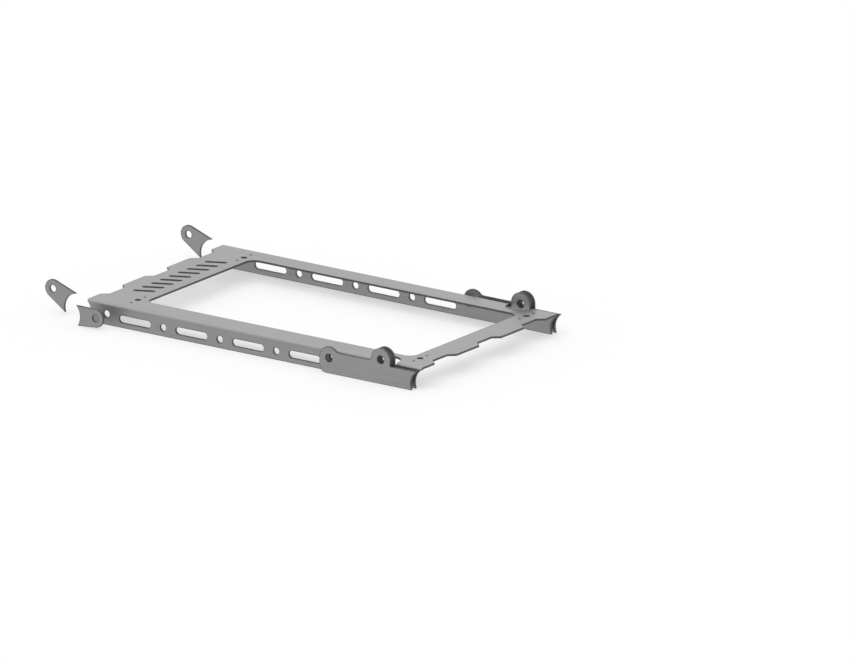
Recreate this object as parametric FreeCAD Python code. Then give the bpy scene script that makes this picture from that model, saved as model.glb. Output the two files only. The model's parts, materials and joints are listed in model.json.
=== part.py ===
# Weld-in seat mount for a tube chassis, in millimetres.
#
# One sheet frame with both long sides folded down carries the seat. Its coped ends sit on
# two cross tubes. Five flat plates are welded to the same tubes: an outer ear plate beside
# each side of the frame, two tabs ahead of the front tube and one tab beside the left side.
#
# +X runs to the rear, +Y to the right of the sitter and +Z up. The origin is the middle of
# the four seat bolts, on the top face of the frame.
import FreeCAD, Part
import math
import os

V = FreeCAD.Vector

# Sheet and tubes
sheet = 3.3
bend_inside_radius = 1.0
tube_diameter = 50.8
tube_span = 664.6
front_tube_drop = 21.0
rear_tube_drop = 25.8

# Folded frame
frame_width = 360.4
frame_height = 35.5
front_bar_width = 80.9
rear_bar_width = 47.5
rail_width = 40.1
window_corner_radius = 16.0

# Valleys along the front and rear edges, which leave room for weld between the teeth
valley_count = 3
valley_floor = 38.1
valley_ramp = 10.1
valley_depth = 11.1

# Seat bolts and the two rivet holes beside each, for an anchor nut
seat_bolt_hole = 9.6
seat_bolt_spacing_y = 279.4
front_bolt_setback = 66.7
rear_bolt_setback = 32.2
rivet_hole = 3.6
rivet_spacing = 35.6

# Slanted vents through the front bar
vent_count = 9
vent_length = 34.0
vent_width = 8.0
vent_slant = 25.0
vent_pitch = 23.6
vent_setback = 46.0

# Holes and slots along both folded sides, measured from the front tube and the lower edge
side_hole = 11.5
side_hole_count = 4
side_hole_pitch = 107.3
side_hole_height = 14.0
first_hole_behind_tube = 54.7
first_hole_height = 17.4
side_slot_length = 60.0

# Belt ears: their holes are measured from the rear tube and the lower edge
ear_hole = 12.8
ear_radius = 18.1
rear_ear_tube_distance = 82.0
rear_ear_height = 39.1
front_ear_tube_distance = 180.0
front_ear_height = 24.8
ear_relief_gap = 3.8

# Outer ear plates
ear_plate_gap = 8.0
ear_plate_corner_radius = 13.0
front_ear_fillet = 10.0
rear_ear_fillet = 6.0

# Front tabs: hole place seen from the tube's centre, and the angles of the two sides
front_tab_hole = 11.5
front_tab_reach = 47.4
front_tab_rise = 25.9
front_tab_end_radius = 14.7
front_tab_upper_angle = 20.2
front_tab_lower_angle = 34.8

# Side tab, in line with the first hole of the left side
side_tab_gap = 26.5
side_tab_end_radius = 14.8
side_tab_upper_angle = 0.0
side_tab_lower_angle = 4.2

# Places that follow from the sizes
tube_radius = tube_diameter / 2
half_width = frame_width / 2
bend_radius = bend_inside_radius + sheet
base_z = -frame_height
front_tube_z = -front_tube_drop
rear_tube_z = -rear_tube_drop


def tube_setback(drop):
    """Distance from a tube's centre at which the lower face of the top sheet meets the tube."""
    return math.sqrt(tube_radius ** 2 - (drop - sheet) ** 2)


frame_length = tube_span - tube_setback(front_tube_drop) - tube_setback(rear_tube_drop)
seat_bolt_spacing_x = frame_length - front_bolt_setback - rear_bolt_setback
front_edge_x = -seat_bolt_spacing_x / 2 - front_bolt_setback
rear_edge_x = seat_bolt_spacing_x / 2 + rear_bolt_setback
front_tube_x = front_edge_x - tube_setback(front_tube_drop)
rear_tube_x = rear_edge_x + tube_setback(rear_tube_drop)
first_hole_x = front_tube_x + first_hole_behind_tube
first_hole_z = base_z + first_hole_height
front_ear_x = rear_tube_x - front_ear_tube_distance
front_ear_z = base_z + front_ear_height
rear_ear_x = rear_tube_x - rear_ear_tube_distance
rear_ear_z = base_z + rear_ear_height
side_tab_outer_y = -(half_width + side_tab_gap + sheet)


def side_view(x, z):
    """A point of an outline drawn in side view."""
    return V(x, 0, z)


def line(start, end):
    return Part.LineSegment(start, end).toShape()


def arc(start, middle, end):
    return Part.Arc(start, middle, end).toShape()


def upright_plate(edges, low_y):
    """A sheet plate with its outline in side view, standing from low_y to low_y + sheet."""
    outline = Part.Wire(edges)
    plate = Part.Face(outline).extrude(V(0, sheet, 0))
    return plate.translated(V(0, low_y, 0))


def cross_hole(x, z, diameter, low_y, high_y):
    """A round cutter along Y that runs a sheet thickness past both ends."""
    length = high_y - low_y + 2 * sheet
    return Part.makeCylinder(diameter / 2, length, V(x, low_y - sheet, z), V(0, 1, 0))


def tube(x, z):
    """The space of a cross tube, wider than everything welded to it."""
    length = 2 * frame_width
    return Part.makeCylinder(tube_radius, length, V(x, -frame_width, z), V(0, 1, 0))


def down_hole(x, y, diameter):
    """A round cutter through the top sheet."""
    return Part.makeCylinder(diameter / 2, 3 * sheet, V(x, y, -2 * sheet), V(0, 0, 1))


def folded_sheet():
    """The bare channel: top sheet, two bends and two sides, carried along X."""
    outer = half_width
    inner = half_width - sheet
    bend = half_width - bend_radius
    diagonal = math.sqrt(0.5)

    def section(y, z):
        return V(front_edge_x, y, z)

    def bend_arc(side, radius):
        start = section(side * (bend + radius), -bend_radius)
        middle = section(side * (bend + radius * diagonal), -bend_radius + radius * diagonal)
        end = section(side * bend, -bend_radius + radius)
        return arc(start, middle, end)

    edges = [
        line(section(-outer, base_z), section(-outer, -bend_radius)),
        bend_arc(-1, bend_radius),
        line(section(-bend, 0), section(bend, 0)),
        bend_arc(1, bend_radius),
        line(section(outer, -bend_radius), section(outer, base_z)),
        line(section(outer, base_z), section(inner, base_z)),
        line(section(inner, base_z), section(inner, -bend_radius)),
        bend_arc(1, bend_inside_radius),
        line(section(bend, -sheet), section(-bend, -sheet)),
        bend_arc(-1, bend_inside_radius),
        line(section(-inner, -bend_radius), section(-inner, base_z)),
        line(section(-inner, base_z), section(-outer, base_z)),
    ]
    outline = Part.Wire(Part.__sortEdges__(edges))
    return Part.Face(outline).extrude(V(frame_length, 0, 0))


def window():
    """The large opening between the two bars and the two rails."""
    front = front_edge_x + front_bar_width
    rear = rear_edge_x - rear_bar_width
    half = half_width - rail_width
    block = Part.makeBox(rear - front, 2 * half, 3 * sheet, V(front, -half, -2 * sheet))
    upright = [edge for edge in block.Edges if edge.tangentAt(edge.FirstParameter).z ** 2 > 0.5]
    return block.makeFillet(window_corner_radius, upright)


def valleys():
    """Trapezoid cuts that turn both ends of the top sheet into teeth."""
    flat_width = frame_width - 2 * bend_radius
    pitch = flat_width / valley_count
    half_floor = valley_floor / 2
    half_mouth = half_floor + valley_ramp
    cuts = []
    for edge_x, inward in ((front_edge_x, 1), (rear_edge_x, -1)):
        for number in range(valley_count):
            centre = (number - (valley_count - 1) / 2) * pitch
            floor_x = edge_x + inward * valley_depth
            past_x = edge_x - inward * valley_depth
            half_past = half_mouth + valley_ramp
            corners = [
                V(past_x, centre - half_past, -2 * sheet),
                V(floor_x, centre - half_floor, -2 * sheet),
                V(floor_x, centre + half_floor, -2 * sheet),
                V(past_x, centre + half_past, -2 * sheet),
            ]
            cuts.append(Part.Face(Part.makePolygon(corners + corners[:1])).extrude(V(0, 0, 3 * sheet)))
    return cuts


def seat_bolt_holes():
    """Four bolt holes, each with a rivet hole either side of it along Y."""
    cuts = []
    for x in (-seat_bolt_spacing_x / 2, seat_bolt_spacing_x / 2):
        for y in (-seat_bolt_spacing_y / 2, seat_bolt_spacing_y / 2):
            cuts.append(down_hole(x, y, seat_bolt_hole))
            cuts.append(down_hole(x, y - rivet_spacing / 2, rivet_hole))
            cuts.append(down_hole(x, y + rivet_spacing / 2, rivet_hole))
    return cuts


def vents():
    """A row of slanted round-ended slots across the front bar."""
    centre_x = front_edge_x + vent_setback
    straight = vent_length - vent_width
    cuts = []
    for number in range(vent_count):
        bar = Part.makeBox(straight, vent_width, 3 * sheet, V(-straight / 2, -vent_width / 2, -2 * sheet))
        slot = bar.fuse([down_hole(-straight / 2, 0, vent_width), down_hole(straight / 2, 0, vent_width)])
        slot.rotate(V(0, 0, 0), V(0, 0, 1), vent_slant)
        y = (number - (vent_count - 1) / 2) * vent_pitch
        cuts.append(slot.translated(V(centre_x, y, 0)))
    return cuts


def side_cuts():
    """Holes and slots that run straight through both folded sides."""
    cuts = []
    low_z = base_z + side_hole_height
    straight = side_slot_length - side_hole
    for number in range(side_hole_count):
        hole_x = first_hole_x + number * side_hole_pitch
        hole_z = first_hole_z if number == 0 else low_z
        cuts.append(cross_hole(hole_x, hole_z, side_hole, -half_width, half_width))
        slot_x = hole_x + side_hole_pitch / 2
        for end_x in (slot_x - straight / 2, slot_x + straight / 2):
            cuts.append(cross_hole(end_x, low_z, side_hole, -half_width, half_width))
        corner = V(slot_x - straight / 2, -frame_width, low_z - side_hole / 2)
        cuts.append(Part.makeBox(straight, 2 * frame_width, side_hole, corner))
    cuts.append(cross_hole(front_ear_x, front_ear_z, ear_hole, -half_width, half_width))
    return cuts


def side_copes():
    """The tube spaces, cut into the folded sides only, up to the start of the bend."""
    corner = V(-tube_span, -frame_width, base_z - bend_radius)
    sides = Part.makeBox(2 * tube_span, 2 * frame_width, frame_height, corner)
    front = tube(front_tube_x, front_tube_z).common(sides)
    rear = tube(rear_tube_x, rear_tube_z).common(sides)
    return [front, rear]


def ear_relief(side):
    """Half-round notch in the top sheet and the bend around a rear ear."""
    radius = ear_radius + ear_relief_gap
    bend_y = side * (half_width - bend_radius)
    notch = Part.makeCylinder(radius, 2 * bend_radius, V(rear_ear_x, bend_y, -bend_radius), V(0, 0, 1))
    corner_y = min(bend_y, bend_y + side * 2 * bend_radius)
    corner = V(rear_ear_x - radius, corner_y, -bend_radius)
    return notch.fuse(Part.makeBox(2 * radius, 2 * bend_radius, 2 * bend_radius, corner))


def rear_ear(low_y):
    """The ear that a folded side sends up through its notch."""
    left = rear_ear_x - ear_radius
    right = rear_ear_x + ear_radius
    top = side_view(rear_ear_x, rear_ear_z + ear_radius)
    edges = [
        line(side_view(left, -bend_radius), side_view(left, rear_ear_z)),
        arc(side_view(left, rear_ear_z), top, side_view(right, rear_ear_z)),
        line(side_view(right, rear_ear_z), side_view(right, -bend_radius)),
        line(side_view(right, -bend_radius), side_view(left, -bend_radius)),
    ]
    ear = upright_plate(edges, low_y)
    return ear.cut(cross_hole(rear_ear_x, rear_ear_z, ear_hole, low_y, low_y + sheet))


def seat_frame():
    """The whole frame, cut flat and folded from one sheet."""
    frame = folded_sheet()
    reliefs = [ear_relief(side) for side in (-1, 1)]
    frame = frame.cut([window()] + valleys() + seat_bolt_holes() + vents() + side_copes() + reliefs)
    frame = frame.cut(side_cuts())
    frame = frame.fuse([rear_ear(-half_width), rear_ear(half_width - sheet)])
    return frame.removeSplitter()


def tangent_fillet(ear_x, ear_z, radius, side):
    """Start, middle and end of the concave arc from the ear's round down onto the top edge z = 0."""
    centre_z = radius
    across = math.sqrt((ear_radius + radius) ** 2 - (centre_z - ear_z) ** 2)
    centre_x = ear_x + side * across
    share = ear_radius / (ear_radius + radius)
    on_ear = side_view(ear_x + side * across * share, ear_z + (centre_z - ear_z) * share)
    on_edge = side_view(centre_x, 0)
    centre = side_view(centre_x, centre_z)
    towards = (on_ear - centre) + (on_edge - centre)
    middle = centre + towards.normalize() * radius
    return on_ear, middle, on_edge


def ear_plate(low_y):
    """Outer plate with two belt ears, coped over the rear tube."""
    front_x = front_ear_x - ear_radius
    corner = ear_plate_corner_radius
    rear_side_x = rear_ear_x + ear_radius
    step_z = -bend_radius
    past_x = rear_tube_x
    front_round, front_mid, front_foot = tangent_fillet(front_ear_x, front_ear_z, front_ear_fillet, 1)
    rear_round, rear_mid, rear_foot = tangent_fillet(rear_ear_x, rear_ear_z, rear_ear_fillet, -1)
    corner_cut = corner * (1 - math.sqrt(0.5))
    edges = [
        line(side_view(past_x, base_z), side_view(front_x + corner, base_z)),
        arc(side_view(front_x + corner, base_z), side_view(front_x + corner_cut, base_z + corner_cut),
            side_view(front_x, base_z + corner)),
        line(side_view(front_x, base_z + corner), side_view(front_x, front_ear_z)),
        arc(side_view(front_x, front_ear_z), side_view(front_ear_x, front_ear_z + ear_radius), front_round),
        arc(front_round, front_mid, front_foot),
        line(front_foot, rear_foot),
        arc(rear_foot, rear_mid, rear_round),
        arc(rear_round, side_view(rear_ear_x, rear_ear_z + ear_radius), side_view(rear_side_x, rear_ear_z)),
        line(side_view(rear_side_x, rear_ear_z), side_view(rear_side_x, step_z)),
        line(side_view(rear_side_x, step_z), side_view(past_x, step_z)),
        line(side_view(past_x, step_z), side_view(past_x, base_z)),
    ]
    plate = upright_plate(edges, low_y)
    return plate.cut([
        tube(rear_tube_x, rear_tube_z),
        cross_hole(front_ear_x, front_ear_z, ear_hole, low_y, low_y + sheet),
        cross_hole(rear_ear_x, rear_ear_z, ear_hole, low_y, low_y + sheet),
    ])


def coped_tab(low_y, away, reach, rise, end_radius, upper_angle, lower_angle, hole):
    """Tab welded to the front tube: a round end around its hole, and two straight sides
    tangent to that end which run back to the tube. away is -1 ahead of the tube, 1 behind."""

    def place(along, up):
        return side_view(front_tube_x + away * along, front_tube_z + up)

    def side(degrees, upper):
        angle = math.radians(degrees)
        touch_along = reach - upper * end_radius * math.sin(angle)
        touch_up = rise + upper * end_radius * math.cos(angle)
        run = touch_along * math.cos(angle) + touch_up * math.sin(angle)
        foot_along = touch_along - run * math.cos(angle)
        foot_up = touch_up - run * math.sin(angle)
        return place(touch_along, touch_up), place(foot_along, foot_up)

    upper_touch, upper_foot = side(upper_angle, 1)
    lower_touch, lower_foot = side(lower_angle, -1)
    middle_angle = math.radians((upper_angle + lower_angle) / 2)
    end = place(reach + end_radius * math.cos(middle_angle), rise + end_radius * math.sin(middle_angle))
    edges = [
        line(upper_foot, upper_touch),
        arc(upper_touch, end, lower_touch),
        line(lower_touch, lower_foot),
        line(lower_foot, place(0, 0)),
        line(place(0, 0), upper_foot),
    ]
    tab = upright_plate(edges, low_y)
    hole_centre = place(reach, rise)
    bolt = cross_hole(hole_centre.x, hole_centre.z, hole, low_y, low_y + sheet)
    return tab.cut([tube(front_tube_x, front_tube_z), bolt])


def front_tab(low_y):
    """Tab ahead of the front tube, in line with a side of the frame."""
    return coped_tab(low_y, -1, front_tab_reach, front_tab_rise, front_tab_end_radius,
                     front_tab_upper_angle, front_tab_lower_angle, front_tab_hole)


def side_tab():
    """Tab behind the front tube whose hole lines up with the first hole of the left side."""
    return coped_tab(side_tab_outer_y, 1, first_hole_behind_tube, first_hole_z - front_tube_z,
                     side_tab_end_radius, side_tab_upper_angle, side_tab_lower_angle, side_hole)


def pieces():
    """Every piece under its node name."""
    right_side = half_width - sheet
    ear_plate_offset = ear_plate_gap + sheet
    return {
        "seat_frame": seat_frame(),
        "ear_plate_left": ear_plate(-half_width - ear_plate_offset),
        "ear_plate_right": ear_plate(right_side + ear_plate_offset),
        "front_tab_left": front_tab(-half_width),
        "front_tab_right": front_tab(right_side),
        "side_tab_left": side_tab(),
    }


os.makedirs("parts", exist_ok=True)
for node, shape in pieces().items():
    shape.exportStep(os.path.join("parts", node + ".step"))
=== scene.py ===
# A weld-in seat mount for a tube chassis: one folded sheet frame and five flat plates,
# all laser-cut from the same 3.3 mm mild steel and left bare, ready to be welded.
import json

import bmesh
import bpy
import numpy as np
from mathutils import Matrix, Vector
from mathutils.geometry import delaunay_2d_cdt

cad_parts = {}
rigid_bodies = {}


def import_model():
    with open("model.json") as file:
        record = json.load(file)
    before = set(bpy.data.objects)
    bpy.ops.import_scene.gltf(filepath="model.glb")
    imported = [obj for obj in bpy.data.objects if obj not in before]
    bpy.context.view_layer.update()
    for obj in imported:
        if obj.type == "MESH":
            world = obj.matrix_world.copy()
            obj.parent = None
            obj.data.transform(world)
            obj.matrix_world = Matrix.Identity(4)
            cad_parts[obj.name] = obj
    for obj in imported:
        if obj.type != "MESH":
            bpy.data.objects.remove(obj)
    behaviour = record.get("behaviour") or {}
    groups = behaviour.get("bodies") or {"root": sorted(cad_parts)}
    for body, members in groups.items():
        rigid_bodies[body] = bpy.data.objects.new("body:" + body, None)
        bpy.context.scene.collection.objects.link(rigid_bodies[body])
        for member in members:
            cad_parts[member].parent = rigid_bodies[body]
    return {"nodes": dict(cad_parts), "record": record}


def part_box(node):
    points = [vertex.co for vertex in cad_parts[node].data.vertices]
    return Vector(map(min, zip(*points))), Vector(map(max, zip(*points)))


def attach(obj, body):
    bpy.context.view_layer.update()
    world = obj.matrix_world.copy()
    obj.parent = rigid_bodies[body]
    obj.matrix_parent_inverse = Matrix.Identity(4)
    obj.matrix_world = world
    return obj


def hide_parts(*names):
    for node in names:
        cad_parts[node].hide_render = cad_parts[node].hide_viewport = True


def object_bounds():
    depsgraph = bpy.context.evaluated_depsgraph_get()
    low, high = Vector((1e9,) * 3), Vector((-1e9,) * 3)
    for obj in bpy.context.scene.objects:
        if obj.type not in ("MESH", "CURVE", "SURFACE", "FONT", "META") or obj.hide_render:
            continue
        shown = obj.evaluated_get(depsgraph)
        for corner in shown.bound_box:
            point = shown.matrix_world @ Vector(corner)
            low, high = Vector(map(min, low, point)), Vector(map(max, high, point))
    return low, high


for leftover in list(bpy.data.objects):
    bpy.data.objects.remove(leftover)

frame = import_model()
cad_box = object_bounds()


# Seat frame. One cold-rolled mild-steel sheet, laser-cut flat and folded down along both long
# sides on a press brake. The burned edges keep a dark scale, the bends a pair of die marks.
sheet = 0.0033
bend_inner_radius = 0.0010
bend_outer_radius = bend_inner_radius + sheet
frame_half_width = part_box("seat_frame")[1][1]
bend_line = frame_half_width - bend_outer_radius
bend_length = bend_outer_radius * np.pi / 2
mount_places = {mount["name"]: mount["pos_m"] for mount in frame["record"]["mounts"]}
ear_x = mount_places["left_rear_belt_ear"][0]
ear_clearance = 0.020  # past the ear's outline, short of its notch
ear_foot = 0.0005  # height above which only the ears stand
heat_band = 0.0015  # width of the tint that the laser leaves beside a cut
edge_break = 0.00025
die_half_opening = 0.0124  # from the middle of a bend to the mark of each shoulder of the die
die_mark_core, die_mark_reach = 0.0001, 0.0007  # off its line, where a mark is full and gone
skin_and_highlight_fade = 0.0006  # last bit of a bend's arc, where the stretched skin and its painted highlight fade out
inner_layer = 0.5  # third coordinate of the flat pattern on the inner side, 0 on the outer


def shader_node(tree, kind, values=None, **settings):
    """Adds a node. Each value goes to its input: a socket is linked, anything else is set."""
    node = tree.nodes.new("ShaderNode" + kind)
    for name, value in settings.items():
        setattr(node, name, value)
    for place, value in (values or {}).items():
        socket = node.inputs[place]
        if isinstance(value, bpy.types.NodeSocket):
            tree.links.new(value, socket)
        else:
            socket.default_value = value
    return node


def math_node(tree, operation, first, second=0.0, third=0.0):
    """The result of one Math node."""
    values = {0: first, 1: second, 2: third}
    return shader_node(tree, "Math", values, operation=operation).outputs[0]


def remap(tree, value, low, high, to_low, to_high, smooth=False):
    """Value taken from low..high to to_low..to_high, clamped, straight or as a smooth step."""
    values = {"Value": value, "From Min": low, "From Max": high, "To Min": to_low, "To Max": to_high}
    kind = "SMOOTHSTEP" if smooth else "LINEAR"
    return shader_node(tree, "MapRange", values, interpolation_type=kind).outputs["Result"]


def noise(tree, coordinates, scale, turn=0.0, longer=(1.0, 1.0, 1.0), detail=2.0, roughness=0.5):
    """Noise whose marks are turned in the sheet's plane and drawn out along each axis by longer."""
    values = {"Vector": coordinates, "Rotation": (0.0, 0.0, turn), "Scale": longer}
    placed = shader_node(tree, "Mapping", values, vector_type="TEXTURE").outputs[0]
    values = {"Vector": placed, "Scale": scale, "Detail": detail, "Roughness": roughness}
    return shader_node(tree, "TexNoise", values).outputs["Fac"]


def weighted_sum(tree, start, *terms):
    """Start plus each term's value times its weight."""
    for value, weight in terms:
        start = math_node(tree, "MULTIPLY_ADD", value, weight, start)
    return start


def blend_colour(tree, share, first, second):
    """First where share is 0, second where it is 1."""
    values = {0: share, 6: first, 7: second}
    return shader_node(tree, "Mix", values, data_type="RGBA").outputs[2]


def new_finish(name):
    """An empty material with its tree, shader and output, ready to be wired."""
    material = bpy.data.materials.new(name)
    material.use_nodes = True
    tree = material.node_tree
    tree.nodes.clear()
    output = tree.nodes.new("ShaderNodeOutputMaterial")
    shader = tree.nodes.new("ShaderNodeBsdfPrincipled")
    tree.links.new(shader.outputs[0], output.inputs["Surface"])
    return material, tree, shader


def from_bend(tree, pattern):
    """Distance in the flat pattern from the middle of the nearer bend."""
    out = shader_node(tree, "SeparateXYZ", {0: pattern}).outputs["Y"]
    out = math_node(tree, "ABSOLUTE", out)
    out = math_node(tree, "SUBTRACT", out, bend_line + bend_length / 2)
    return math_node(tree, "ABSOLUTE", out)


def below_the_ears(tree, share):
    """The share, but 0 on the ears, which stand up past the bend and never touch the die."""
    place = shader_node(tree, "TexCoord").outputs["Object"]
    height = shader_node(tree, "SeparateXYZ", {0: place}).outputs["Z"]
    return math_node(tree, "MULTIPLY", share, math_node(tree, "LESS_THAN", height, ear_foot))


def die_marks(tree, pattern, streaks):
    """Strength of the two lines that the die's shoulders rub into the skin beside each bend: 1 at
    the die's half opening from the middle of the bend, broken up by the streaks."""
    from_mark = math_node(tree, "SUBTRACT", from_bend(tree, pattern), die_half_opening)
    from_mark = math_node(tree, "ABSOLUTE", from_mark)
    mark = remap(tree, from_mark, die_mark_core, die_mark_reach, 1.0, 0.0, smooth=True)
    mark = math_node(tree, "MULTIPLY", mark, remap(tree, streaks, 0.35, 0.60, 0.35, 1.0))
    return below_the_ears(tree, mark)


def stretched_skin_with_painted_highlight(tree, pattern):
    """1 round the outside of each bend, where the stretched skin turns matt and the tone is lifted
    paler:
    partly the real skin, partly a painted highlight along the bend. It fades over the last bit of its
    arc. The inner side is pressed and keeps its skin."""
    half = bend_length / 2
    band = remap(tree, from_bend(tree, pattern), half - skin_and_highlight_fade, half, 1.0, 0.0, smooth=True)
    layer = shader_node(tree, "SeparateXYZ", {0: pattern}).outputs["Z"]
    outer = math_node(tree, "LESS_THAN", layer, inner_layer / 2)
    return below_the_ears(tree, math_node(tree, "MULTIPLY", band, outer))


steel_tone, steel_blueness, steel_roughness = 0.186, 1.012, 0.36
straw_tint, burned_scale = (0.150, 0.135, 0.118, 1.0), (0.055, 0.055, 0.060, 1.0)
skin_relief = 0.00003


def rolled_steel(name, grain_turn, bent=False):
    """Bare cold-rolled skin: grain and streaks along the rolling direction, faint clouds, hair
    scratches from the stack, and a heat tint that fades over the band beside each cut. The marks
    lie in the flat pattern, so they run round the bends as on the real sheet."""
    material, tree, shader = new_finish(name)
    pattern = shader_node(tree, "Attribute", attribute_name="flat_pattern").outputs["Vector"]

    def drawn_out(scale, length, detail, roughness=0.6, askew=0.0):
        """Noise drawn out to length times its width, along the grain or askew to it."""
        longer = (length, 1.0, 1.0)
        return noise(tree, pattern, scale, grain_turn + askew, longer, detail, roughness)

    streaks = drawn_out(110.0, length=40.0, detail=3.0)
    grain = drawn_out(1700.0, length=45.0, detail=2.0)
    clouds = drawn_out(14.0, length=2.0, detail=4.0)
    mottle = drawn_out(240.0, length=3.0, detail=3.0)
    along = drawn_out(1900.0, length=150.0, detail=0.0, roughness=0.5, askew=0.06)
    across = drawn_out(2100.0, length=110.0, detail=0.0, roughness=0.5, askew=0.95)
    scratches = remap(tree, math_node(tree, "MAXIMUM", along, across), 0.755, 0.790, 0.0, 1.0)

    marbling = [(streaks, 0.055), (clouds, 0.055), (mottle, 0.018), (grain, 0.064)]
    tone = weighted_sum(tree, steel_tone, *marbling, (scratches, 0.032))
    rough = weighted_sum(tree, steel_roughness, (grain, 0.10), (clouds, 0.12), (scratches, -0.06))
    height = weighted_sum(tree, grain, (scratches, -0.6))
    if bent:
        marks, skin = die_marks(tree, pattern, streaks), stretched_skin_with_painted_highlight(tree, pattern)
        peel_and_painted_highlight = math_node(tree, "MULTIPLY", skin, noise(tree, pattern, 2600.0, longer=(0.6, 1.0, 1.0)))
        # Round the outside of each bend the skin and its peel make the tone paler. This is partly
        # real stretched skin and partly a painted highlight.
        tone = weighted_sum(tree, tone, (marks, -0.040), (skin, 0.030), (peel_and_painted_highlight, 0.060))
        rough = weighted_sum(tree, rough, (marks, -0.10), (skin, 0.05))
        height = weighted_sum(tree, height, (marks, -2.5), (peel_and_painted_highlight, 1.5))

    blue = math_node(tree, "MULTIPLY", tone, steel_blueness)
    bare = shader_node(tree, "CombineColor", {0: tone, 1: tone, 2: blue}).outputs[0]
    cut_distance = shader_node(tree, "Attribute", attribute_name="cut_distance").outputs["Fac"]
    ragged = weighted_sum(tree, cut_distance, (mottle, 0.24))
    straw_share = remap(tree, ragged, 0.50, 1.05, 0.75, 0.0, smooth=True)
    scale_share = remap(tree, ragged, 0.32, 0.74, 1.0, 0.0, smooth=True)
    tinted = blend_colour(tree, straw_share, bare, straw_tint)
    colour = blend_colour(tree, scale_share, tinted, burned_scale)
    tree.links.new(colour, shader.inputs["Base Color"])
    tree.links.new(rough, shader.inputs["Roughness"])
    shader.inputs["Metallic"].default_value = 1.0
    bump = shader_node(tree, "Bump", {"Height": height, "Strength": 0.3, "Distance": skin_relief})
    tree.links.new(bump.outputs[0], shader.inputs["Normal"])
    return material


dark_oxide, pale_oxide = (0.040, 0.040, 0.044, 1.0), (0.105, 0.100, 0.097, 1.0)
drag_line_colour = (0.170, 0.165, 0.160, 1.0)
drag_line_depth = 0.00008


def burned_edge(name, through):
    """Laser-cut edge: dark oxide scale with fine drag lines that run through the sheet."""
    material, tree, shader = new_finish(name)
    place = shader_node(tree, "TexCoord").outputs["Object"]
    lines = noise(tree, place, 2300.0, longer=through, roughness=0.6)
    patches = noise(tree, place, 160.0, detail=3.0, roughness=0.6)
    oxide = blend_colour(tree, patches, dark_oxide, pale_oxide)
    drag = remap(tree, lines, 0.46, 0.68, 0.0, 0.8)
    colour = blend_colour(tree, drag, oxide, drag_line_colour)
    tree.links.new(colour, shader.inputs["Base Color"])
    rough = weighted_sum(tree, 0.42, (lines, 0.20))
    tree.links.new(rough, shader.inputs["Roughness"])
    shader.inputs["Metallic"].default_value = 0.75
    values = {"Height": lines, "Strength": 0.6, "Distance": drag_line_depth}
    bump = shader_node(tree, "Bump", values)
    tree.links.new(bump.outputs[0], shader.inputs["Normal"])
    return material


kept_scale, rubbed_steel = (0.070, 0.070, 0.075, 1.0), (0.260, 0.255, 0.250, 1.0)


def worn_corner(name):
    """The broken corner of a cut edge: scale rubbed through to steel in places."""
    material, tree, shader = new_finish(name)
    place = shader_node(tree, "TexCoord").outputs["Object"]
    rub = noise(tree, place, 220.0, detail=4.0, roughness=0.65)
    share = remap(tree, rub, 0.44, 0.62, 0.0, 1.0, smooth=True)
    colour = blend_colour(tree, share, kept_scale, rubbed_steel)
    tree.links.new(colour, shader.inputs["Base Color"])
    rough = remap(tree, rub, 0.35, 0.65, 0.55, 0.36)
    tree.links.new(rough, shader.inputs["Roughness"])
    shader.inputs["Metallic"].default_value = 0.9
    return material


def unfold(points):
    """The flat pattern of points on the frame: x along it, and out from the middle line, round
    the bend by its outer radius and down the side. An ear lies flat in its notch, past the bend."""
    x, across = points[:, 0], np.abs(points[:, 1])
    height = points[:, 2] + bend_outer_radius
    angle = np.clip(np.arctan2(across - bend_line, height), 0.0, np.pi / 2)
    out = np.where(across > bend_line, bend_line + bend_outer_radius * angle, across)
    upright = (height <= 0.0) | ((np.abs(x - ear_x) < ear_clearance) & (across > bend_line))
    out = np.where(upright, bend_line + bend_length - height, out)
    return np.stack([x, np.sign(points[:, 1]) * out], axis=1)


def fold(flat, side, corners):
    """Folds new points of the flat pattern up again: level out to the bend line, then round the
    bend by an angle of v over the outer radius, then straight down, or up where an ear stands."""
    x, past = flat[:, 0], np.abs(flat[:, 1]) - bend_line
    in_ear = (np.abs(x - ear_x) < ear_clearance) & (np.hypot(x - ear_x, past) < ear_clearance)
    angle = np.where(in_ear, np.pi / 2, np.clip(past / bend_outer_radius, 0.0, np.pi / 2))
    radius = bend_outer_radius if side == 1 else bend_inner_radius
    level = np.where((past < 0.0) & ~in_ear, past, 0.0)
    drop = np.where((past > bend_length) | in_ear, past - bend_length, 0.0)
    across = bend_line + level + radius * np.sin(angle)
    height = radius * np.cos(angle) - bend_outer_radius - drop
    return np.stack([x, np.sign(flat[:, 1]) * across, height], axis=1)


edge_on, square_on = 0.01, 0.99  # parts of a unit normal along an axis, for hardly and for wholly
flush = 0.00003


def frame_sides(middle, normal):
    """Which broad side a face belongs to: 1 outer, 2 inner, 0 for a cut edge. A skin face is level
    or upright at the sheet's own height or width, or lies a bend radius from the bend's axis."""
    across, height = np.abs(middle[:, 1]), middle[:, 2]
    from_axis = np.hypot(across - bend_line, height + bend_outer_radius)
    in_bend = (np.abs(normal[:, 0]) < edge_on) & (height > -bend_outer_radius) & (across > bend_line)
    level, upright = np.abs(normal[:, 2]) > square_on, np.abs(normal[:, 1]) > square_on
    outer = level & (np.abs(height) < flush)
    outer |= upright & (np.abs(across - frame_half_width) < flush)
    outer |= in_bend & (np.abs(from_axis - bend_outer_radius) < flush)
    inner = level & (np.abs(height + sheet) < flush)
    inner |= upright & (np.abs(across - frame_half_width + sheet) < flush)
    inner |= in_bend & (np.abs(from_axis - bend_inner_radius) < flush)
    return np.where(outer, 1, np.where(inner, 2, 0))


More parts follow.
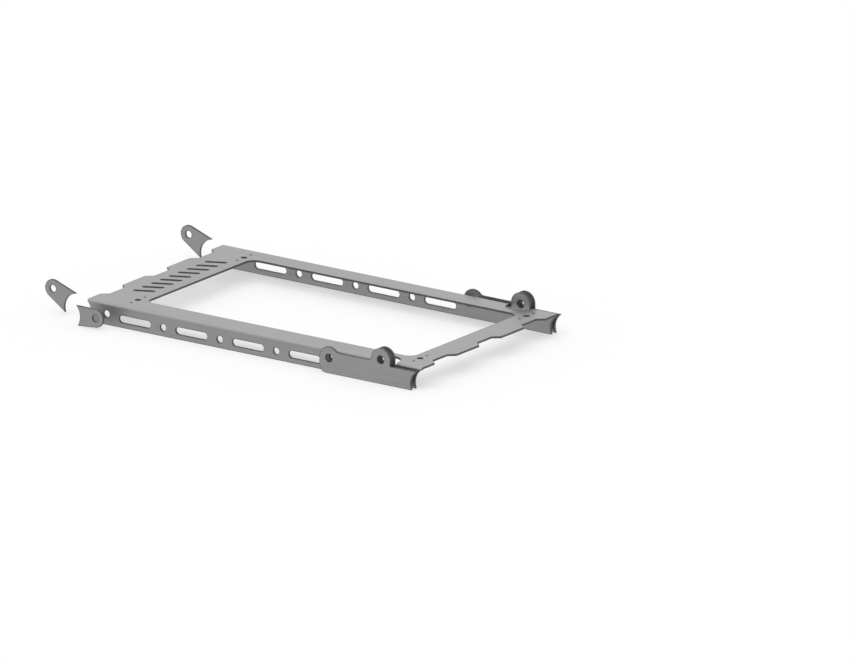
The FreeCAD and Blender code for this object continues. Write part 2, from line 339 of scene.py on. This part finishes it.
def to_nearest_edge(points, starts, ends, at_once=400):
    """Each point's distance to the nearest of the segments from starts to ends, worked out for a
    few hundred points at a time."""
    run = ends - starts
    found = []
    for some in np.array_split(points, len(points) // at_once + 1):
        offset = some[:, None] - starts
        share = np.clip((offset * run).sum(2) / (run**2).sum(1), 0.0, 1.0)
        found.append(np.linalg.norm(offset - share[..., None] * run, axis=2).min(1))
    return np.concatenate(found)


def inside(points, starts, ends):
    """True for a point whose level ray crosses the outline an odd number of times."""
    x, y = points[:, :1], points[:, 1:]
    crosses = (starts[:, 1] > y) != (ends[:, 1] > y)
    rise = np.where(ends[:, 1] == starts[:, 1], 1.0, ends[:, 1] - starts[:, 1])
    meets = starts[:, 0] + (y - starts[:, 1]) * (ends[:, 0] - starts[:, 0]) / rise
    return (crosses & (x < meets)).sum(1) % 2 == 1


def outline_of(triangles):
    """Edges that only one of the triangles has, each in the direction that its triangle goes."""
    directed = np.concatenate([triangles[:, [0, 1]], triangles[:, [1, 2]], triangles[:, [2, 0]]])
    known = {tuple(edge) for edge in directed.tolist()}
    return np.array([edge for edge in directed.tolist() if (edge[1], edge[0]) not in known])


least_opening = 0.04  # one plus the cosine between the normals of two edges that nearly turn back
point_clearance, line_clearance = 0.97 * heat_band, 0.9 * heat_band


def ring_inside(flat, outline, turn):
    """Points one heat band inside an outline, and the pairs of them that follow it. A point lies
    where the offsets of its corner's two edges meet: out by the sum of their inward normals, over
    one plus the normals' product. What comes too near another edge is left out."""
    here, after = outline[:, 0], outline[:, 1]
    starts, ends = flat[here], flat[after]
    before = np.full(len(flat), -1)
    before[after] = here
    steps = [starts - flat[before[here]], ends - starts]
    inward = [np.stack([-step[:, 1], step[:, 0]], 1) * turn for step in steps]
    inward = [way / np.linalg.norm(way, axis=1, keepdims=True) for way in inward]
    opening = 1.0 + (inward[0] * inward[1]).sum(1, keepdims=True)
    ring = starts + heat_band * (inward[0] + inward[1]) / np.maximum(opening, least_opening)
    clear = to_nearest_edge(ring, starts, ends) > point_clearance
    clear &= opening[:, 0] > least_opening
    place = np.full(len(flat), -1)
    place[here[clear]] = np.arange(clear.sum())
    ring = ring[clear]
    pairs = np.stack([place[here], place[after]], 1)
    pairs = pairs[(pairs >= 0).all(1)]
    for share in (0.25, 0.5, 0.75):
        between = ring[pairs[:, 0]] * (1.0 - share) + ring[pairs[:, 1]] * share
        pairs = pairs[to_nearest_edge(between, starts, ends) > line_clearance]
    return ring, pairs


in_millimetres = 1000.0
joining_tolerance = 1e-5  # in millimetres


def banded_side(flat, triangles, creases):
    """New triangles of one broad side, from its flat pattern: its outline, its creases and the ring
    inside it, joined by a constrained Delaunay triangulation. Returns the triangles, the new points
    and their distances to the cut; corners keep their numbers and new points follow them."""
    corners = flat[triangles]
    first, second = corners[:, 1] - corners[:, 0], corners[:, 2] - corners[:, 0]
    turn = np.sign((first[:, 0] * second[:, 1] - first[:, 1] * second[:, 0]).sum())
    outline = outline_of(triangles)
    ring, pairs = ring_inside(flat, outline, turn)

    used, numbers = np.unique(np.concatenate([outline.ravel(), creases.ravel()]), return_inverse=True)
    given = [Vector(point) for point in np.concatenate([flat[used], ring]) * in_millimetres]
    edges = np.concatenate([numbers.reshape(-1, 2), pairs + len(used)]).tolist()
    points, _, faces, sources, _, _ = delaunay_2d_cdt(given, edges, [], 0, joining_tolerance, True)
    points = np.array([point[:] for point in points]) / in_millimetres
    faces = np.array(faces)
    starts, ends = flat[outline[:, 0]], flat[outline[:, 1]]
    faces = faces[inside(points[faces].mean(1), starts, ends)]

    is_old = np.array([bool(source) and source[0] < len(used) for source in sources])
    number = np.empty(len(points), int)
    number[is_old] = used[[source[0] for source, old in zip(sources, is_old) if old]]
    number[~is_old] = len(flat) + np.arange((~is_old).sum())
    faces = number[faces] if turn > 0 else number[faces][:, ::-1]
    added = points[~is_old]
    return faces, added, to_nearest_edge(added, starts, ends)


def read(items, name, width=1, kind=np.float32):
    """One value of every vertex, edge, face or corner of a mesh, width numbers to a row."""
    values = np.empty(len(items) * width, kind)
    items.foreach_get(name, values)
    values = values.astype(float if kind == np.float32 else int)
    return values.reshape(-1, width) if width > 1 else values


def at_edges(mesh):
    """The two faces that meet at each edge of a closed mesh, and the angle between their normals:
    twice the arc sine of half the distance between the normals' tips."""
    corners_of_face = read(mesh.polygons, "loop_total", kind=np.int32)
    face_of_corner = np.repeat(np.arange(len(mesh.polygons)), corners_of_face)
    order = np.argsort(read(mesh.loops, "edge_index", kind=np.int32), kind="stable")
    faces = face_of_corner[order].reshape(-1, 2)
    normals = read(mesh.polygons, "normal", 3)[faces]
    apart = np.linalg.norm(normals[:, 0] - normals[:, 1], axis=1)
    return faces, 2.0 * np.arcsin(np.clip(apart / 2.0, 0.0, 1.0))


same_point = 0.000002
flat_turn, crease_turn, corner_turn = 0.0005, 0.001, 0.5  # radians between two faces


def merged_node(node):
    """Corners, triangles, their normals and the edges where they turn, of a CAD node whose loose
    triangles are joined up in a copy."""
    source = bmesh.new()
    source.from_mesh(frame["nodes"][node].data)
    bmesh.ops.remove_doubles(source, verts=source.verts, dist=same_point)
    joined = bpy.data.meshes.new(node)
    source.to_mesh(joined)
    source.free()
    corners = read(joined.vertices, "co", 3)
    triangles = read(joined.loops, "vertex_index", kind=np.int32).reshape(-1, 3)
    normals = read(joined.polygons, "normal", 3)
    creases = read(joined.edges, "vertices", 2, np.int32)[at_edges(joined)[1] > crease_turn]
    bpy.data.meshes.remove(joined)
    return corners, triangles, normals, creases


def banded_mesh(node, name, sides_of, edge_slot, flatten, raise_up):
    """A merged copy of a CAD node whose two broad sides carry a band beside every cut. It holds the
    finish of each face, 0 for skin, and two values of each corner: its distance to the cut, in heat
    bands, and its place in the flat pattern, where each side has a layer and marks of its own."""
    corners, triangles, normal, creases = merged_node(node)
    middle = corners[triangles].mean(1)
    sides = sides_of(middle, normal)
    flat = flatten(corners)
    faces, slots = [triangles[sides == 0]], [edge_slot(middle, normal)[sides == 0]]
    points, distances = [corners], [np.zeros(len(corners))]
    patterns = [np.column_stack([flat, np.zeros(len(corners))])]
    patterns[0][triangles[sides == 2].ravel(), 2] = inner_layer
    for side in (1, 2):
        own = triangles[sides == side]
        belongs = np.zeros(len(corners), bool)
        belongs[own] = True
        both = creases[belongs[creases].all(1)]
        joined, added, distance = banded_side(flat, own, both)
        shift = sum(map(len, points)) - len(corners)
        faces.append(np.where(joined >= len(corners), joined + shift, joined))
        slots.append(np.zeros(len(joined), int))
        points.append(raise_up(added, side, corners[own[0]]))
        distances.append(np.minimum(distance / heat_band, 1.0))
        patterns.append(np.column_stack([added, np.full(len(added), inner_layer * (side - 1))]))

    mesh = bpy.data.meshes.new(name)
    mesh.from_pydata(np.concatenate(points).tolist(), [], np.concatenate(faces).tolist())
    mesh.polygons.foreach_set("material_index", np.concatenate(slots).astype(np.int32))
    cut_distance = mesh.attributes.new("cut_distance", "FLOAT", "POINT")
    cut_distance.data.foreach_set("value", np.concatenate(distances))
    flat_pattern = mesh.attributes.new("flat_pattern", "FLOAT_VECTOR", "POINT")
    flat_pattern.data.foreach_set("vector", np.concatenate(patterns).ravel())
    return mesh


def join_flat_cuts(mesh):
    """Takes out the edges between cut faces that lie in one plane, so that a straight cut is one
    face and the bevel runs along it without a break."""
    slot = read(mesh.polygons, "material_index", kind=np.int32)
    meeting, turn = at_edges(mesh)
    diagonals = np.flatnonzero((slot[meeting] > 0).all(1) & (turn < flat_turn))
    body = bmesh.new()
    body.from_mesh(mesh)
    body.edges.ensure_lookup_table()
    edges = [body.edges[number] for number in diagonals]
    bmesh.ops.dissolve_edges(body, edges=edges, use_verts=False, use_face_split=False)
    body.to_mesh(mesh)
    body.free()


def mark_corners(mesh):
    """Gives the bevel its edges: those of a cut face where the surface turns sharply."""
    slot = read(mesh.polygons, "material_index", kind=np.int32)
    meeting, turn = at_edges(mesh)
    broken = (slot[meeting] > 0).any(1) & (turn > corner_turn)
    weight = mesh.attributes.new("bevel_weight_edge", "FLOAT", "EDGE")
    weight.data.foreach_set("value", broken.astype(float))


def dress(node, piece_name, finishes, *ways):
    """The piece that stands in for a CAD node: banded skin, sorted cut edges, corners broken by a
    fine bevel, and smooth bends and bores. The finishes are the skin's, the cut edges' and last the
    broken corners'. The ways are the functions that banded_mesh asks for."""
    mesh = banded_mesh(node, piece_name, *ways)
    join_flat_cuts(mesh)
    mark_corners(mesh)
    mesh.polygons.foreach_set("use_smooth", np.ones(len(mesh.polygons), bool))
    for finish in finishes:
        mesh.materials.append(finish)

    piece = bpy.data.objects.new(piece_name, mesh)
    bpy.context.scene.collection.objects.link(piece)
    corner = piece.modifiers.new("broken corners", "BEVEL")
    corner.width = edge_break
    corner.segments = 2
    corner.limit_method = "WEIGHT"
    corner.use_clamp_overlap = False
    corner.material = len(finishes) - 1
    shading = piece.modifiers.new("flat faces stay flat", "WEIGHTED_NORMAL")
    shading.keep_sharp = True
    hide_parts(node)
    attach(piece, "root")
    return piece


def frame_edges(middle, normal):
    """Material slot of a cut face: 1 in the top sheet, 2 in the sides and their ears."""
    in_top = (np.abs(middle[:, 1]) < bend_line) & (middle[:, 2] > -bend_outer_radius)
    return np.where(in_top, 1, 2)


frame_finish = rolled_steel("frame_rolled_steel", 0.0, bent=True)
top_edge_finish = burned_edge("burned_edge_of_top_sheet", (1.0, 1.0, 18.0))
upright_edge_finish = burned_edge("burned_edge_of_upright_sheet", (1.0, 18.0, 1.0))
corner_finish = worn_corner("worn_corner_of_cut_sheet")
frame_finishes = [frame_finish, top_edge_finish, upright_edge_finish, corner_finish]
frame_ways = (frame_sides, frame_edges, unfold, fold)
seat_frame = dress("seat_frame", "folded_seat_frame", frame_finishes, *frame_ways)


# Outer ear plates. Two flat plates with two belt ears each, cut from the same sheet, which
# are welded to the rear cross tube just outboard of the sides.
ear_plate_grain = 0.0  # radians from the length of the frame, as the plates lie on the sheet


def plate_sides(middle, normal):
    """The two broad faces of an upright plate have normals along Y: 1 left, 2 right, 0 for a cut."""
    return np.where(normal[:, 1] < -square_on, 1, np.where(normal[:, 1] > square_on, 2, 0))


def plate_edges(middle, normal):
    """Every cut face of a plate has the one edge finish."""
    return np.ones(len(middle), int)


def lay_plate_down(points):
    """A plate is its own flat pattern, x along it and z up."""
    return points[:, [0, 2]]


def stand_plate_up(flat, side, corners):
    """Puts new points of the pattern back into the plane of that side's corners."""
    return np.stack([flat[:, 0], np.full(len(flat), corners[0, 1]), flat[:, 1]], axis=1)


def dress_plate(node, piece_name, grain_turn):
    """A flat upright plate of bare sheet whose grain is turned in its plane."""
    finish = rolled_steel(piece_name + "_rolled_steel", grain_turn)
    finishes = [finish, upright_edge_finish, corner_finish]
    ways = (plate_sides, plate_edges, lay_plate_down, stand_plate_up)
    plate = dress(node, piece_name, finishes, *ways)
    return plate


dress_plate("ear_plate_left", "belt_ear_plate_left", ear_plate_grain)
dress_plate("ear_plate_right", "belt_ear_plate_right", ear_plate_grain)


# Front tabs. Two small coped plates that are welded to the front cross tube in line with the
# frame's sides. They nest askew on the sheet, so their grain runs askew too.
front_tab_grain = 0.55
dress_plate("front_tab_left", "front_tab_plate_left", front_tab_grain)
dress_plate("front_tab_right", "front_tab_plate_right", front_tab_grain)


# Side tab. One more coped plate, on the left only, which is welded to the front cross tube
# outboard of the frame. Its hole lines up with the first hole of the left side.
side_tab_grain = -0.2
dress_plate("side_tab_left", "side_tab_plate", side_tab_grain)


# Floor. A plain pale floor at the height of the frame's lower edges. Part of its white is glow,
# which takes no shadow: half of it to the camera, and most of it where the steel reflects it.
floor_height = cad_box[0][2]
floor_half_width = 30.0
floor_white, floor_paint = 0.98, 0.86  # as it is seen, and as it lights the object
glow_to_camera, glow_to_steel = 0.50, 0.85


def is_seen(tree):
    """1 for a ray from the camera, a reflection or glass, and 0 for one that gathers light."""
    path = shader_node(tree, "LightPath").outputs
    seen = math_node(tree, "MAXIMUM", path["Is Camera Ray"], path["Is Glossy Ray"])
    return math_node(tree, "MAXIMUM", seen, path["Is Transmission Ray"])


def pale_floor():
    """A level square of matt white. The share that isn't glow keeps the object's shadow."""
    material, tree, shader = new_finish("pale_floor")
    material.cycles.emission_sampling = "NONE"
    seen = is_seen(tree)
    in_steel = shader_node(tree, "LightPath").outputs["Is Glossy Ray"]
    glow = remap(tree, in_steel, 0.0, 1.0, glow_to_camera, glow_to_steel)
    matt = math_node(tree, "MULTIPLY_ADD", glow, -floor_white, floor_white)
    tree.links.new(remap(tree, seen, 0.0, 1.0, floor_paint, matt), shader.inputs["Base Color"])
    glow = math_node(tree, "MULTIPLY", seen, glow)
    tree.links.new(glow, shader.inputs["Emission Strength"])
    shader.inputs["Emission Color"].default_value = (1.0, 1.0, 1.0, 1.0)
    shader.inputs["Roughness"].default_value = 1.0
    shader.inputs["Specular IOR Level"].default_value = 0.0
    reach = np.array([-floor_half_width, floor_half_width])
    x, y = np.meshgrid(reach, reach)
    corners = np.stack([x.ravel(), y.ravel(), np.full(4, floor_height)], axis=1)
    mesh = bpy.data.meshes.new("floor")
    mesh.from_pydata(corners.tolist(), [], [(0, 1, 3, 2)])
    mesh.materials.append(material)
    floor = bpy.data.objects.new("floor", mesh)
    bpy.context.scene.collection.objects.link(floor)
    return floor


pale_floor()


# Light. Soft studio light from above, a low softbox behind for the sheen of the top sheet,
# and white surroundings for the camera and for reflections.
ambient = 0.70  # as the surroundings light the object
world = bpy.data.worlds.new("studio")
bpy.context.scene.world = world
world.use_nodes = True
sky = world.node_tree
sky.nodes.clear()
level = remap(sky, is_seen(sky), 0.0, 1.0, ambient, 1.0)
background = shader_node(sky, "Background", {"Color": (1.0, 1.0, 1.0, 1.0), "Strength": level})
surroundings = sky.nodes.new("ShaderNodeOutputWorld")
sky.links.new(background.outputs[0], surroundings.inputs["Surface"])


def soft_light(name, comes_from, strength, angle):
    """A broad sun lamp shining from the given direction, angle degrees wide."""
    lamp = bpy.data.lights.new(name, "SUN")
    lamp.energy = strength
    lamp.angle = np.radians(angle)
    light = bpy.data.objects.new(name, lamp)
    light.rotation_mode = "QUATERNION"
    light.rotation_quaternion = Vector(comes_from).to_track_quat("Z", "Y")
    bpy.context.scene.collection.objects.link(light)
    return light


soft_light("overhead_light", comes_from=(0.12, -0.34, 1.0), strength=0.98, angle=70)
soft_light("rear_softbox", comes_from=(-0.56, 0.78, 0.50), strength=0.18, angle=45)


# Camera. Parallel projection from the left rear, 36 degrees round and 17 degrees up, framed
# as in the photograph.
azimuth, elevation = np.radians(35.78), np.radians(16.69)
view_width = 1.3085
aim_right, aim_up = 0.1429, -0.0386  # middle of the picture, seen from the frame's origin
stand_off = 4.0
right = Vector((np.cos(azimuth), np.sin(azimuth), 0.0))
level_back = Vector((np.sin(azimuth), -np.cos(azimuth), 0.0))
back = level_back * np.cos(elevation) + Vector((0.0, 0.0, np.sin(elevation)))
up = back.cross(right)
lens = bpy.data.cameras.new("camera")
lens.type = "ORTHO"
lens.ortho_scale = view_width
lens.clip_end = 2.0 * floor_half_width
camera = bpy.data.objects.new("camera", lens)
turn = Matrix((right, up, back)).transposed().to_4x4()
camera.matrix_world = Matrix.Translation(right * aim_right + up * aim_up + back * stand_off) @ turn
bpy.context.scene.collection.objects.link(camera)
bpy.context.scene.camera = camera
bpy.context.scene.view_settings.view_transform = "Standard"
